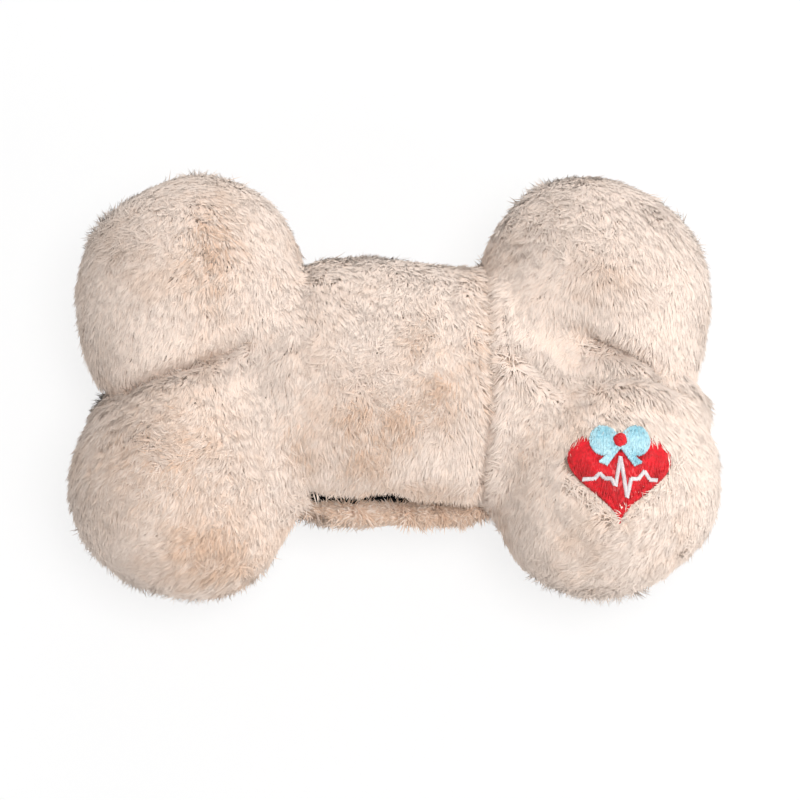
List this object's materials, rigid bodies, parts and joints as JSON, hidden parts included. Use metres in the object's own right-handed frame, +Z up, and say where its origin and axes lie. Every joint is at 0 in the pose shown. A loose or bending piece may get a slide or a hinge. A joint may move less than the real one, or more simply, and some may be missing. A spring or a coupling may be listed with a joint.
{
  "type": "heartbeat pillow toy for a puppy",
  "caption": "Bone-shaped long-pile plush pillow with an embroidered heart and a pocket that holds a battery heartbeat pod",
  "frame": {"origin": "on the table, under the middle of the bone", "axes": "+X along the bone, +Y away from the pocket's mouth, +Z up; the toy lies on its back"},
  "size_m": [0.2998, 0.198, 0.0999],
  "materials": {
    "fur": "matte",
    "wadding": "matte",
    "lining": "matte",
    "black_tape": "matte",
    "red_thread": "satin",
    "white_thread": "satin",
    "blue_thread": "satin",
    "white_plastic": "satin",
    "black_plastic": "satin",
    "red_rubber": "matte",
    "steel": "satin",
    "cell_sleeve": "satin",
    "board": "satin",
    "brass": "satin",
    "red_sleeve": "satin",
    "black_sleeve": "satin"
  },
  "bodies": {
    "plush": {"upper_left_knob_cover": "fur", "lower_left_knob_cover": "fur", "upper_right_knob_cover": "fur", "lower_right_knob_cover": "fur", "left_end_cover": "fur", "right_end_cover": "fur", "middle_back_cover": "fur", "middle_front_cover": "fur", "upper_left_knob_filling": "wadding", "lower_left_knob_filling": "wadding", "upper_right_knob_filling": "wadding", "lower_right_knob_filling": "wadding", "left_end_filling": "wadding", "right_end_filling": "wadding", "middle_back_filling": "wadding", "middle_front_filling": "wadding", "pocket_rear_filling": "wadding", "pocket_lining": "lining", "hook_strip": "black_tape", "heart_patch": "red_thread", "bow_knot": "red_thread", "pulse_line": "white_thread", "bow_ribbon": "blue_thread"},
    "flap": {"pocket_flap": "fur", "loop_strip": "black_tape"},
    "pod": {"lower_case": "white_plastic", "upper_case": "white_plastic", "front_cell": "cell_sleeve", "rear_cell": "cell_sleeve", "bridge_contact": "steel", "positive_contact": "steel", "negative_contact": "steel", "circuit_board": "board", "control_chip": "black_plastic", "push_switch": "black_plastic", "motor": "steel", "motor_cradle": "black_plastic", "left_screw": "steel", "right_screw": "steel", "positive_lead": "red_sleeve", "negative_lead": "black_sleeve", "front_motor_lead": "red_sleeve", "rear_motor_lead": "black_sleeve"},
    "door": {"battery_door": "white_plastic"},
    "button": {"push_button": "red_rubber"},
    "beater": {"motor_axle": "steel", "eccentric_weight": "brass"}
  },
  "joints": [
    {"name": "flap_lift", "type": "hinge", "parent": "plush", "child": "flap", "pos_m": [0, -0.025, 0.0891], "axis": [-1, 0, 0], "range_deg": [0, 60]},
    {"name": "pod_slide", "type": "slide", "parent": "plush", "child": "pod", "axis": [0, -1, 0], "range_m": [0, 0.105]},
    {"name": "door_slide", "type": "slide", "parent": "pod", "child": "door", "axis": [0, -1, 0], "range_m": [0, 0.026]},
    {"name": "button_press", "type": "slide", "parent": "pod", "child": "button", "axis": [0, 0, -1], "range_m": [0, 0.0012], "stiffness_N_per_m": 800},
    {"name": "beater_spin", "type": "hinge", "parent": "pod", "child": "beater", "pos_m": [0.012, 0.0156, 0.0527], "axis": [1, 0, 0], "continuous": true}
  ]
}
